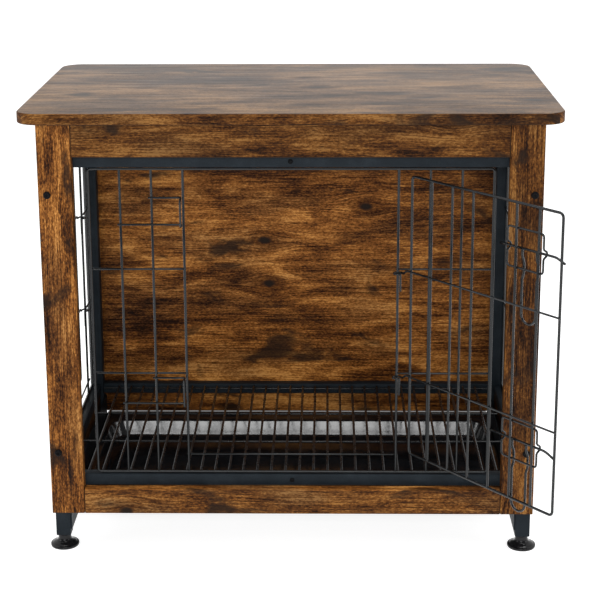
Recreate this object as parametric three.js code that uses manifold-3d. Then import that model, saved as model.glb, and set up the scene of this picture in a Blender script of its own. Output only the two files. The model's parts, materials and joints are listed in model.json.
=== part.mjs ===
// Furniture-style dog crate: a table-top body of wooden boards on a square-tube steel frame,
// with wire panels, two latched wire doors, a wire floor grid and a slide-out tray.
// Millimetres, +Z up. The front faces -Y. The front door stands open, the side door is closed.
import * as THREE from "three";
import { mergeVertices } from "three/addons/utils/BufferGeometryUtils.js";
import Module from "manifold-3d";

const wasm = await Module();
wasm.setup();

// ---- Driving dimensions ----

const GAP = 0.3; // between pieces that touch
const HALF_TURN = Math.PI;
const QUARTER_TURN = Math.PI / 2;

const top = {
  width: 700, front: -21.5, back: 402.5, upper: 612, thickness: 15, cornerRadius: 30,
};
const board = { thickness: 15, width: 44, frontHalfWidth: 326, bottom: 57.7 };
const frame = {
  half: 325, tube: 16, leg: 20, wall: 1.2, front: board.thickness + GAP, back: 392,
  legBottom: 18, lowTube: 93, highTube: 535,
};
const backBoard = { thickness: 10 };
const tabletopUnderside = top.upper - top.thickness;
const lowRailTop = frame.lowTube - GAP;
const highRailBottom = frame.highTube + frame.tube + GAP;

const wire = {
  frameR: 1.75, barR: 1.65, crossR: 1.35, sides: 6, weld: 0.6,
  bend: 2.5, slightTurn: THREE.MathUtils.degToRad(50),
};
const panel = {
  setback: 4, // from the outer face of the tubes to the plane of the wires
  low: frame.lowTube + frame.tube + 2.5,
  high: frame.highTube - 2.5,
  mids: [397, 252],
  threshold: 136,
  cornerR: 4,
};
const frontPanel = { half: 264, doorHalf: 140.3, barsPerSide: 3 };
const sidePanel = { front: 41, back: 368, doorWidth: 280.6, rightBars: 8 };

const door = {
  offset: 7.9, // the door's wires stand this far outside the hinge wire
  first: 17.4, width: 261, bars: 7, top: 524.5, bottom: 142.3, cornerR: 5.5,
  openAngle: THREE.MathUtils.degToRad(50.5), // between the open front door and the front's plane
  overhang: 2.5,
};
const hingeLoop = { radius: 5.3, drop: 5, lead: 12, leg: 24, steps: 6, bend: 1.6 };
const latch = {
  levels: [467.7, 219.7], // height of each bolt
  guideLeft: 187, guideRight: 247, guideHalfHeight: 25, guideCorner: 5, guideInset: 1.5,
  bump: 6, bumpHalf: 6, bumpTopHalf: 2.1,
  boltR: 1.6, boltOffset: 12.6, boltBack: 49.5, boltTip: 58, tipRise: 5.5, tipLength: 14,
  handleHalf: 12, handleDrop: 94, kinkDrop: 25, kink: 3.8, kinkHalf: 7, kinkStart: 9.6, kinkEnd: 39,
};
const keeper = {
  above: 27, below: 9, reach: 17.5, past: 2.7,
  inner: 43, outer: 84, // lengths of the upper and the lower keeper wire along the panel
};
const handlePositions = { frontUpper: 222, frontLower: 215, side: 215 };

const grid = {
  half: 279, bars: 30, front: 32.6, back: 369, barR: 1.9, crossHalf: 303, crossBars: 4, sides: 4,
};
const tray = {
  low: 29.9, high: 55, half: 293, front: 60, back: 359, wall: 2, flange: 1.6,
  flangeHalf: 302.5, flangeFront: 40, flangeBack: 401, cornerR: 24, flangeCornerR: 4,
};
const runner = { outer: 304.7, plate: 1.7, low: 26, high: 86, shelfInner: 295, front: 18, back: 392 };
const foot = { discR: 19.5, neckR: 8.6, stemR: 4, discHeight: 6.5, neckTop: 17.7, stemTop: 44, sides: 14 };
const plug = { height: 11.7, boreR: 4.4 };
const bolt = { x: 314.5, levels: [502, 146], headR: 5, head: 3, shankR: 2.6, holeR: 2.9, length: 22, sides: 10 };
const fixing = { headR: 3.2, head: 1.8, shankR: 1.6, holeR: 1.9, length: 6, backX: [0, 104], sides: 6 };

// ---- Materials ----

const finish = (color, roughness, metalness) =>
  new THREE.MeshStandardMaterial({ color, roughness, metalness });
const wood = finish(0x7a4a26, 0.6, 0);
const topWood = finish(0x6e4a30, 0.5, 0);
const steel = finish(0x2b3036, 0.45, 0.6);
const wireCoat = finish(0x33383c, 0.4, 0.6);
const glossBlack = finish(0x101012, 0.15, 0);
const footPlastic = finish(0x131314, 0.4, 0);

// ---- Solids ----

function solidOf(geometry) {
  geometry.deleteAttribute("normal");
  geometry.deleteAttribute("uv");
  const merged = mergeVertices(geometry, 1e-4);
  return new wasm.Manifold(new wasm.Mesh({
    numProp: 3,
    vertProperties: merged.attributes.position.array,
    triVerts: new Uint32Array(merged.index.array),
  }));
}

function geometryOf(solid) {
  const made = solid.getMesh();
  const geometry = new THREE.BufferGeometry();
  geometry.setAttribute("position", new THREE.BufferAttribute(made.vertProperties, made.numProp));
  geometry.setIndex(new THREE.BufferAttribute(made.triVerts, 1));
  geometry.computeVertexNormals();
  return geometry;
}

const join = (solids) => solids.reduce((sum, next) => sum.add(next));
const cut = (solid, ...tools) => tools.reduce((left, tool) => left.subtract(tool), solid);

function box(low, high) {
  const size = high.map((value, i) => value - low[i]);
  const geometry = new THREE.BoxGeometry(...size);
  geometry.translate(...low.map((value, i) => value + size[i] / 2));
  return solidOf(geometry);
}

// A round bar along Y, from y0 to y1.
function barAlongY(x, z, y0, y1, radius, sides) {
  const geometry = new THREE.CylinderGeometry(radius, radius, y1 - y0, sides);
  geometry.translate(x, (y0 + y1) / 2, z);
  return solidOf(geometry);
}

// A plate with rounded corners, between two heights.
function roundedPlate(x0, x1, y0, y1, radius, z0, z1, cornerSteps = 6) {
  const shape = new THREE.Shape();
  shape.moveTo(x0 + radius, y0);
  shape.absarc(x1 - radius, y0 + radius, radius, -QUARTER_TURN, 0);
  shape.absarc(x1 - radius, y1 - radius, radius, 0, QUARTER_TURN);
  shape.absarc(x0 + radius, y1 - radius, radius, QUARTER_TURN, HALF_TURN);
  shape.absarc(x0 + radius, y0 + radius, radius, HALF_TURN, 3 * QUARTER_TURN);
  const geometry = new THREE.ExtrudeGeometry(shape, {
    depth: z1 - z0, bevelEnabled: false, curveSegments: cornerSteps,
  });
  geometry.translate(0, 0, z0);
  return solidOf(geometry);
}

// ---- Wires ----

// A polyline as a curve whose equal steps fall on its own vertices.
class WirePath extends THREE.Curve {
  constructor(vertices) {
    super();
    this.vertices = vertices;
  }
  getPointAt(u, target = new THREE.Vector3()) {
    const last = this.vertices.length - 1;
    const i = Math.min(Math.floor(u * last + 1e-6), last - 1);
    return target.lerpVectors(this.vertices[i], this.vertices[i + 1], u * last - i);
  }
  getSpacedPoints() {
    return this.vertices.map((vertex) => vertex.clone());
  }
  getTangentAt(u, target = new THREE.Vector3()) {
    const i = Math.round(u * (this.vertices.length - 1));
    const before = this.vertices[Math.max(i - 1, 0)];
    const here = this.vertices[i];
    const after = this.vertices[Math.min(i + 1, this.vertices.length - 1)];
    const arriving = new THREE.Vector3().subVectors(here, before).normalize();
    const leaving = new THREE.Vector3().subVectors(after, here).normalize();
    return target.addVectors(arriving, leaving).normalize();
  }
}

// The sharp corners between straight stretches become short bends of the given size.
function bent(points, bend, steps = 2) {
  const vertices = [points[0]];
  for (let i = 1; i < points.length - 1; i++) {
    const arriving = new THREE.Vector3().subVectors(points[i], points[i - 1]);
    const leaving = new THREE.Vector3().subVectors(points[i + 1], points[i]);
    if (arriving.angleTo(leaving) < wire.slightTurn) {
      vertices.push(points[i]);
      continue;
    }
    const reach = (other) => Math.min(bend, 0.45 * points[i].distanceTo(other));
    const towards = (other) =>
      points[i].clone().add(new THREE.Vector3().subVectors(other, points[i]).setLength(reach(other)));
    const curve = new THREE.QuadraticBezierCurve3(
      towards(points[i - 1]), points[i], towards(points[i + 1]));
    vertices.push(...curve.getPoints(steps));
  }
  vertices.push(points[points.length - 1]);
  return vertices;
}

const polygon = (radius, sides) =>
  Array.from({ length: sides }, (_, i) => {
    const angle = (2 * Math.PI * (i + 0.5)) / sides;
    return new THREE.Vector2(radius * Math.cos(angle), radius * Math.sin(angle));
  });

const point = (x, y, z) => new THREE.Vector3(x, y, z);

function openWire(points, radius, bend = 0, sides = wire.sides) {
  const vertices = bend > 0 ? bent(points, bend) : points;
  return solidOf(new THREE.ExtrudeGeometry(new THREE.Shape(polygon(radius, sides)), {
    steps: vertices.length - 1, bevelEnabled: false, extrudePath: new WirePath(vertices),
  }));
}

const straight = (a, b, radius, sides) => openWire([point(...a), point(...b)], radius, 0, sides);

// A closed upright ring of wire in the XZ plane at depth y, with rounded corners.
function ringWire(x0, x1, z0, z1, y, radius, bend) {
  const corners = [point(x0, y, z0), point(x1, y, z0), point(x1, y, z1), point(x0, y, z1)];
  const towards = (from, to) =>
    from.clone().add(new THREE.Vector3().subVectors(to, from).setLength(bend));
  const vertices = corners.flatMap((corner, i) => {
    const before = towards(corner, corners[(i + 3) % 4]);
    const after = towards(corner, corners[(i + 1) % 4]);
    return new THREE.QuadraticBezierCurve3(before, corner, after).getPoints(3);
  });
  return closedWire(vertices, radius);
}

// A closed wire through the given vertices.
function closedWire(vertices, radius) {
  const loop = new WirePath([...vertices, vertices[0]]);
  const last = loop.vertices.length - 1;
  loop.getTangentAt = (u, target = new THREE.Vector3()) => {
    const i = Math.round(u * last) % last;
    const arriving = new THREE.Vector3().subVectors(vertices[i], vertices[(i + last - 1) % last]);
    const leaving = new THREE.Vector3().subVectors(vertices[(i + 1) % last], vertices[i]);
    return target.addVectors(arriving.normalize(), leaving.normalize()).normalize();
  };
  return solidOf(new THREE.TubeGeometry(loop, last, radius, wire.sides, true));
}

// ---- Wooden body ----

const tabletop = () => roundedPlate(
  -top.width / 2, top.width / 2, top.front, top.back, top.cornerRadius,
  tabletopUnderside + GAP, top.upper, 8);

const boltHoles = (side) => bolt.levels.map((z) =>
  barAlongY(side * bolt.x, z, -1, frame.front + frame.leg / 2, bolt.holeR, bolt.sides));

function frontPost(side) {
  const outer = side * board.frontHalfWidth;
  const inner = side * (board.frontHalfWidth - board.width);
  const plank = box(
    [Math.min(outer, inner), 0, board.bottom],
    [Math.max(outer, inner), board.thickness, tabletopUnderside]);
  return cut(plank, ...boltHoles(side));
}

function frontRail(low, high) {
  const half = board.frontHalfWidth - board.width - GAP;
  return box([-half, 0, low], [half, board.thickness, high]);
}

function sideRail(side, low, high) {
  const outer = side * frame.half;
  const inner = side * (frame.half - board.thickness);
  return box(
    [Math.min(outer, inner), frame.front + frame.leg + GAP, low],
    [Math.max(outer, inner), frame.back - frame.leg - GAP, high]);
}

const backPanel = () => box(
  [-frame.half, frame.back + GAP, board.bottom],
  [frame.half, frame.back + GAP + backBoard.thickness, tabletopUnderside]);

// ---- Steel frame ----

// A square tube along one axis, open at both ends.
function squareTube(low, high, axis) {
  const inner = [low, high].map((corner, end) =>
    corner.map((value, i) => value + (end ? -1 : 1) * (i === axis ? -1 : frame.wall)));
  return cut(box(low, high), box(...inner));
}

function frontOrBackTube(y, z) {
  const half = frame.half - frame.leg - GAP;
  return squareTube([-half, y, z], [half, y + frame.tube, z + frame.tube], 0);
}

function sideTube(side, z) {
  const outer = side * frame.half;
  const inner = side * (frame.half - frame.tube);
  return squareTube(
    [Math.min(outer, inner), frame.front + frame.leg + GAP, z],
    [Math.max(outer, inner), frame.back - frame.leg - GAP, z + frame.tube], 1);
}

function leg(side, y) {
  const outer = side * frame.half;
  const inner = side * (frame.half - frame.leg);
  return squareTube(
    [Math.min(outer, inner), y, frame.legBottom],
    [Math.max(outer, inner), y + frame.leg, tabletopUnderside - GAP], 2);
}

// A strip inside the legs with a narrow shelf that carries the tray by its flange.
function trayRunner(side) {
  const at = (x) => side * x;
  const span = (a, b) => [Math.min(at(a), at(b)), Math.max(at(a), at(b))];
  const [plate0, plate1] = span(runner.outer - runner.plate, runner.outer);
  const [shelf0, shelf1] = span(runner.shelfInner, runner.outer);
  const shelfTop = tray.high - tray.flange - GAP;
  return join([
    box([plate0, runner.front, runner.low], [plate1, runner.back, runner.high]),
    box([shelf0, runner.front, shelfTop - runner.plate], [shelf1, runner.back, shelfTop]),
  ]);
}

// ---- Wire panels, in a local frame: X along the panel, Y inwards, Z up ----

function panelFrame(x0, x1) {
  return ringWire(x0, x1, panel.low, panel.high, 0, wire.frameR, panel.cornerR);
}

const upright = (x, radius = wire.barR) =>
  straight([x, 0, panel.low], [x, 0, panel.high], radius);

// A level wire behind the uprights.
function level(x0, x1, z, radius = wire.crossR) {
  const y = wire.barR + radius - wire.weld;
  return straight([x0, y, z], [x1, y, z], radius);
}

// The loop that catches one bolt. It stands out just past the strike wire, on the left of the
// doorway, and its two wires run on along the panel.
function keeperWire(boltLevel) {
  const x = -frontPanel.doorHalf - keeper.past;
  const y = -(wire.barR + wire.crossR - wire.weld);
  const high = boltLevel + keeper.above;
  const low = boltLevel - keeper.below;
  return openWire([
    point(x - keeper.inner, y, high), point(x, y, high), point(x, -keeper.reach, high),
    point(x, -keeper.reach, low), point(x, y, low), point(x - keeper.outer, y, low),
  ], wire.crossR, wire.bend);
}

function frontPanelSolid() {
  const { half, doorHalf, barsPerSide } = frontPanel;
  const parts = [panelFrame(-half, half)];
  for (const side of [-1, 1]) {
    for (let i = 0; i < barsPerSide; i++) {
      const x = side * (doorHalf + (i * (half - doorHalf)) / barsPerSide);
      parts.push(upright(x, i === 0 ? wire.frameR : wire.barR));
    }
    for (const z of panel.mids) {
      const ends = [side * (doorHalf - 1), side * half];
      parts.push(level(Math.min(...ends), Math.max(...ends), z));
    }
  }
  parts.push(level(-doorHalf - 1, doorHalf + 1, panel.threshold));
  for (const z of latch.levels) {
    parts.push(keeperWire(z));
  }
  return join(parts);
}

const sideMiddle = (sidePanel.front + sidePanel.back) / 2;
const sideHalf = (sidePanel.back - sidePanel.front) / 2;

// Local +X runs to the front of the crate on this side.
function leftPanelSolid() {
  const hinge = sideHalf - sidePanel.doorWidth;
  const parts = [panelFrame(-sideHalf, sideHalf), upright(hinge, wire.frameR)];
  for (const z of panel.mids) {
    parts.push(level(-sideHalf, hinge + 1, z));
  }
  parts.push(level(hinge - 1, sideHalf, panel.threshold));
  return join(parts);
}

function rightPanelSolid() {
  const parts = [panelFrame(-sideHalf, sideHalf)];
  for (let i = 1; i < sidePanel.rightBars; i++) {
    parts.push(upright(-sideHalf + (2 * sideHalf * i) / sidePanel.rightBars));
  }
  for (const z of panel.mids) {
    parts.push(level(-sideHalf, sideHalf, z));
  }
  return join(parts);
}

function floorGrid() {
  const halfFlat = (radius) => radius * Math.cos(Math.PI / grid.sides);
  const z = frame.lowTube + frame.tube - halfFlat(grid.barR);
  const crossZ = z - halfFlat(grid.barR) - halfFlat(wire.crossR) + wire.weld;
  const parts = [];
  for (let i = 0; i < grid.bars; i++) {
    const x = -grid.half + (2 * grid.half * i) / (grid.bars - 1);
    parts.push(straight([x, grid.front, z], [x, grid.back, z], grid.barR, grid.sides));
  }
  for (let i = 0; i < grid.crossBars; i++) {
    const inset = 2;
    const y = grid.front + inset + ((grid.back - grid.front - 2 * inset) * i) / (grid.crossBars - 1);
    parts.push(straight(
      [-grid.crossHalf, y, crossZ], [grid.crossHalf, y, crossZ], wire.crossR, grid.sides));
  }
  return join(parts);
}

// ---- Doors, in a local frame: X from the hinge wire to the free edge, Z up ----
// `out` is +1 where local +Y is the door's outer face and -1 where it is -Y.

// A middle wire: it crosses the door on its inner face, wraps round the hinge wire and ends
// in a short leg.
function hingedBar(out, z) {
  const r = hingeLoop.radius;
  const low = z - hingeLoop.drop;
  const points = [
    point(door.first + door.width + door.overhang, out * r, z), point(hingeLoop.lead, out * r, z),
    point(hingeLoop.lead / 2, out * r, low),
  ];
  for (let i = 0; i <= hingeLoop.steps; i++) {
    const angle = QUARTER_TURN + (3 * QUARTER_TURN * i) / hingeLoop.steps;
    points.push(point(r * Math.cos(angle), out * r * Math.sin(angle), low));
  }
  points.push(point(r, 0, low - hingeLoop.leg));
  return openWire(points, wire.crossR, hingeLoop.bend);
}

// The closed ring that holds a bolt against the door, with a bump over the bolt on each side.
function latchGuide(out, z) {
  const y = out * (door.offset + wire.barR + wire.crossR - wire.weld);
  const outer = y + out * latch.bump;
  const { guideLeft, guideRight, guideHalfHeight, bumpHalf, bumpTopHalf } = latch;
  const side = (x, direction) => [
    point(x, y, z - direction * bumpHalf), point(x, outer, z - direction * bumpTopHalf),
    point(x, outer, z + direction * bumpTopHalf), point(x, y, z + direction * bumpHalf),
  ];
  const corner = (x, zCorner, toX, toZ) => {
    const { guideCorner: bend, guideInset: inset } = latch;
    return [
      point(x, y, zCorner + toZ * bend), point(x + toX * inset, y, zCorner + toZ * inset),
      point(x + toX * bend, y, zCorner),
    ];
  };
  const low = z - guideHalfHeight;
  const high = z + guideHalfHeight;
  return closedWire([
    ...side(guideRight, 1),
    ...corner(guideRight, high, -1, -1),
    ...corner(guideLeft, high, 1, -1).reverse(),
    ...side(guideLeft, -1),
    ...corner(guideLeft, low, 1, 1),
    ...corner(guideRight, low, -1, 1).reverse(),
  ], wire.crossR);
}

function doorSolid(out) {
  const y = out * door.offset;
  const { first, width, bars } = door;
  const parts = [ringWire(first, first + width, door.bottom, door.top, y, wire.frameR, door.cornerR)];
  for (let i = 1; i < bars; i++) {
    const x = first + (width * i) / bars;
    parts.push(straight([x, y, door.bottom], [x, y, door.top], wire.barR));
  }
  for (const z of panel.mids) {
    parts.push(hingedBar(out, z));
  }
  for (const z of latch.levels) {
    parts.push(latchGuide(out, z));
  }
  return join(parts);
}

// A sliding bolt with its hanging handle, bent from one wire. x is the handle's middle.
function latchBolt(out, x, z) {
  const y = out * latch.boltOffset;
  const yOut = y + out * latch.kink;
  const yHang = y + out;
  const { boltBack, boltTip, tipRise, tipLength, boltR } = latch;
  const { handleHalf, handleDrop, kinkStart, kinkDrop, kinkHalf, kinkEnd } = latch;
  const rod = openWire([
    point(x - boltBack, y, z), point(x + boltTip - tipLength, y, z), point(x + boltTip, y, z - tipRise),
  ], boltR, wire.bend);
  const strand = (side) => [
    point(x + side * handleHalf, y, z), point(x + side * handleHalf, y, z - kinkStart),
    point(x + side * handleHalf, yOut, z - kinkDrop + kinkHalf),
    point(x + side * handleHalf, yOut, z - kinkDrop - kinkHalf),
    point(x + side * handleHalf, yHang, z - kinkEnd),
  ];
  const bottom = z - handleDrop;
  const arc = [];
  const arcSteps = 6;
  for (let i = 0; i <= arcSteps; i++) {
    const angle = HALF_TURN + (HALF_TURN * i) / arcSteps;
    arc.push(point(x + handleHalf * Math.cos(angle), yHang, bottom + handleHalf * (1 + Math.sin(angle))));
  }
  const handle = openWire([...strand(-1), ...arc, ...strand(1).reverse()], boltR, wire.bend);
  return join([rod, handle]);
}

// ---- Tray, feet and fasteners ----

function traySolid() {
  const { low, high, half, front, back, wall, flange } = tray;
  const pan = roundedPlate(-half, half, front, back, tray.cornerR, low, high);
  const lip = roundedPlate(-tray.flangeHalf, tray.flangeHalf, tray.flangeFront, tray.flangeBack,
    tray.flangeCornerR, high - flange, high);
  const hollow = roundedPlate(-half + wall, half - wall, front + wall, back - wall,
    tray.cornerR - wall, low + wall, high + 1);
  return cut(join([pan, lip]), hollow);
}

function levellingFoot() {
  const { discR, neckR, stemR, discHeight, neckTop, stemTop } = foot;
  const profile = [
    [0, 0], [discR - 2, 0], [discR, 1.5], [discR, 0.6 * discHeight], [discR - 3, discHeight],
    [neckR + 1, discHeight + 2], [neckR, discHeight + 3.5], [neckR, neckTop], [stemR, neckTop],
    [stemR, stemTop - 1], [stemR - 1, stemTop], [0, stemTop],
  ].map(([x, y]) => new THREE.Vector2(x, y));
  const geometry = new THREE.LatheGeometry(profile, foot.sides);
  geometry.rotateX(QUARTER_TURN);
  return solidOf(geometry);
}

function legPlug() {
  const half = frame.leg / 2 - frame.wall - GAP;
  const block = box([-half, -half, 0], [half, half, plug.height]);
  const bore = new THREE.CylinderGeometry(plug.boreR, plug.boreR, 2 * plug.height, foot.sides);
  bore.rotateX(QUARTER_TURN);
  bore.translate(0, 0, plug.height / 2);
  return cut(block, solidOf(bore));
}

// A button-head fastener along +Y, with its head on the -Y side of the origin.
function fastener({ headR, head, shankR, length, sides }) {
  const profile = [
    [0, 0], [shankR, 0], [shankR, length], [headR, length], [headR, length + 0.4 * head],
    [0.6 * headR, length + head], [0, length + head],
  ].map(([x, y]) => new THREE.Vector2(x, y));
  const geometry = new THREE.LatheGeometry(profile, sides);
  geometry.rotateX(HALF_TURN);
  geometry.translate(0, length, 0);
  return solidOf(geometry);
}

// ---- Assembly ----

const crate = new THREE.Group();

function addPiece(parent, name, solid, material, position = [0, 0, 0]) {
  const mesh = new THREE.Mesh(geometryOf(solid), material);
  mesh.name = name;
  mesh.position.set(...position);
  parent.add(mesh);
}

function addHolder(position, turn) {
  const holder = new THREE.Group();
  holder.position.set(...position);
  holder.rotation.z = turn;
  crate.add(holder);
  return holder;
}

const sides = [["left", -1], ["right", 1]];
const ends = [["front", frame.front], ["back", frame.back - frame.leg]];
const backTubeY = frame.back - frame.tube;
const panelPlaneY = frame.front + panel.setback;
const panelPlaneX = frame.half - panel.setback;

addPiece(crate, "tabletop", tabletop(), topWood);
addPiece(crate, "front_top_rail", frontRail(highRailBottom, tabletopUnderside), wood);
addPiece(crate, "front_bottom_rail", frontRail(board.bottom, lowRailTop), wood);
addPiece(crate, "back_panel", backPanel(), wood);
for (const [name, side] of sides) {
  addPiece(crate, `front_${name}_post`, frontPost(side), wood);
  addPiece(crate, `${name}_top_rail`, sideRail(side, highRailBottom, tabletopUnderside), wood);
  addPiece(crate, `${name}_bottom_rail`, sideRail(side, board.bottom, lowRailTop), wood);
  addPiece(crate, `${name}_top_tube`, sideTube(side, frame.highTube), steel);
  addPiece(crate, `${name}_bottom_tube`, sideTube(side, frame.lowTube), steel);
  addPiece(crate, `${name}_tray_runner`, trayRunner(side), steel);
}

const fixingHoles = (xs, y, z) => xs.map((x) =>
  barAlongY(x, z, y - 1, y + frame.tube / 2, fixing.holeR, fixing.sides));
const tubeMiddle = frame.tube / 2;
const frontFixings = [["top", frame.highTube], ["bottom", frame.lowTube]];
for (const [name, z] of frontFixings) {
  const plain = frontOrBackTube(frame.front, z);
  const holes = fixingHoles([0], frame.front, z + tubeMiddle);
  addPiece(crate, `front_${name}_tube`, cut(plain, ...holes), steel);
  addPiece(crate, `front_${name}_fixing`, fastener(fixing), steel,
    [0, frame.front - GAP, z + tubeMiddle]);
}
addPiece(crate, "back_top_tube", frontOrBackTube(backTubeY, frame.highTube), steel);
const lowBackTube = frontOrBackTube(backTubeY, frame.lowTube);
addPiece(crate, "back_bottom_tube",
  cut(lowBackTube, ...fixingHoles(fixing.backX, backTubeY, frame.lowTube + tubeMiddle)), steel);
fixing.backX.forEach((x, i) => {
  addPiece(crate, `back_tube_fixing_${i + 1}`, fastener(fixing), steel,
    [x, backTubeY - GAP, frame.lowTube + tubeMiddle]);
});

for (const [end, y] of ends) {
  for (const [name, side] of sides) {
    const middle = [side * (frame.half - frame.leg / 2), y + frame.leg / 2];
    const tube = end === "front" ? cut(leg(side, y), ...boltHoles(side)) : leg(side, y);
    addPiece(crate, `${end}_${name}_leg`, tube, steel);
    addPiece(crate, `${end}_${name}_plug`, legPlug(), footPlastic, [...middle, frame.legBottom + GAP]);
    addPiece(crate, `${end}_${name}_foot`, levellingFoot(), footPlastic, [...middle, 0]);
  }
}
for (const [name, side] of sides) {
  bolt.levels.forEach((z, i) => {
    addPiece(crate, `${name}_post_bolt_${i + 1}`, fastener(bolt), steel, [side * bolt.x, -GAP, z]);
  });
}

addPiece(crate, "floor_grid", floorGrid(), wireCoat);
addPiece(crate, "tray", traySolid(), glossBlack);
addPiece(addHolder([0, panelPlaneY, 0], 0), "front_panel", frontPanelSolid(), wireCoat);
addPiece(addHolder([-panelPlaneX, sideMiddle, 0], -QUARTER_TURN), "left_panel", leftPanelSolid(), wireCoat);
addPiece(addHolder([panelPlaneX, sideMiddle, 0], QUARTER_TURN), "right_panel", rightPanelSolid(), wireCoat);

const [upper, lower] = latch.levels;
const openDoor = addHolder([frontPanel.doorHalf, panelPlaneY, 0], -door.openAngle);
addPiece(openDoor, "front_door", doorSolid(1), wireCoat);
addPiece(openDoor, "front_upper_bolt", latchBolt(1, handlePositions.frontUpper, upper), wireCoat);
addPiece(openDoor, "front_lower_bolt", latchBolt(1, handlePositions.frontLower, lower), wireCoat);

const sideHingeY = sidePanel.front + sidePanel.doorWidth;
const closedDoor = addHolder([-panelPlaneX, sideHingeY, 0], -QUARTER_TURN);
addPiece(closedDoor, "side_door", doorSolid(-1), wireCoat);
addPiece(closedDoor, "side_upper_bolt", latchBolt(-1, handlePositions.side, upper), wireCoat);
addPiece(closedDoor, "side_lower_bolt", latchBolt(-1, handlePositions.side, lower), wireCoat);

// The origin is on the floor, under the middle of everything that the crate covers.
const covered = new THREE.Box3().setFromObject(crate, true);
crate.position.y = -covered.getCenter(new THREE.Vector3()).y;

const group = new THREE.Group();
group.add(crate);

export default group;
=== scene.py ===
import json
import math

import bmesh
import bpy
from mathutils import Matrix, Vector


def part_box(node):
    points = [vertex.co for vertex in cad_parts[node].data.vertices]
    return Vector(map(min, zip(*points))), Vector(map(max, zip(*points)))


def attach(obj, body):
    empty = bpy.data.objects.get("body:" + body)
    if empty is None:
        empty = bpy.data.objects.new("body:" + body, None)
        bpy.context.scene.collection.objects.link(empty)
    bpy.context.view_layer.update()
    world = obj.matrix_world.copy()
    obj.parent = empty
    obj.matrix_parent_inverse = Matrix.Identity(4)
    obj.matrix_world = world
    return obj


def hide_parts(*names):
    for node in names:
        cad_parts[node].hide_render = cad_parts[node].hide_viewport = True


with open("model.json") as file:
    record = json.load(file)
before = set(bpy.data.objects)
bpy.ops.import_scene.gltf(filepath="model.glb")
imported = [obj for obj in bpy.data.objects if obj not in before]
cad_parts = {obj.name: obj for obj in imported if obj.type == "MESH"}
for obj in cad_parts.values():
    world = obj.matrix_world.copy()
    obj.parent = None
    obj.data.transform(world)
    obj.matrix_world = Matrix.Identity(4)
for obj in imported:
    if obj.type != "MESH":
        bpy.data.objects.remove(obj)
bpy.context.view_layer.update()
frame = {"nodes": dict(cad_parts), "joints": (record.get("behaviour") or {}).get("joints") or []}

# Furniture-style dog crate: rustic boards on a square-tube frame, with wire panels, two wire
# doors, a wire floor and a slide-out tray. Shapes are given in millimetres and made in metres.
# They use the crate's own frame, whose front wooden face is y = 0 and whose floor is z = 0, or a
# Place of their own, such as a door's, which starts at its hinge.

MM = 0.001
FRONT_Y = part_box("front_left_post")[0].y
TURN = 2 * math.pi
ENDS, SIDES = ("front", "back"), ("left", "right")
CORNERS = [(end, side) for end in ENDS for side in SIDES]


# ---- Placing ----

class Place:
    """A level local frame: x runs along `along`, y is turned a quarter turn left of it, z is up."""

    def __init__(self, origin=(0, FRONT_Y), along=(1, 0)):
        self.origin = Vector((origin[0], origin[1], 0))
        self.x = Vector((along[0], along[1], 0))
        self.y = Vector((-along[1], along[0], 0))

    def __call__(self, point):
        x, y, z = point
        return self.origin + (self.x * x + self.y * y) * MM + Vector((0, 0, z * MM))


CRATE = Place()


def joint(name):
    return next(j for j in frame["joints"] if j["name"] == name)


def box_mm(node):
    """A CAD node's box in the crate's own millimetres."""
    low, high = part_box(node)
    shift = Vector((0, FRONT_Y, 0))
    return [v / MM for v in low - shift], [v / MM for v in high - shift]


# ---- Meshes ----

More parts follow.
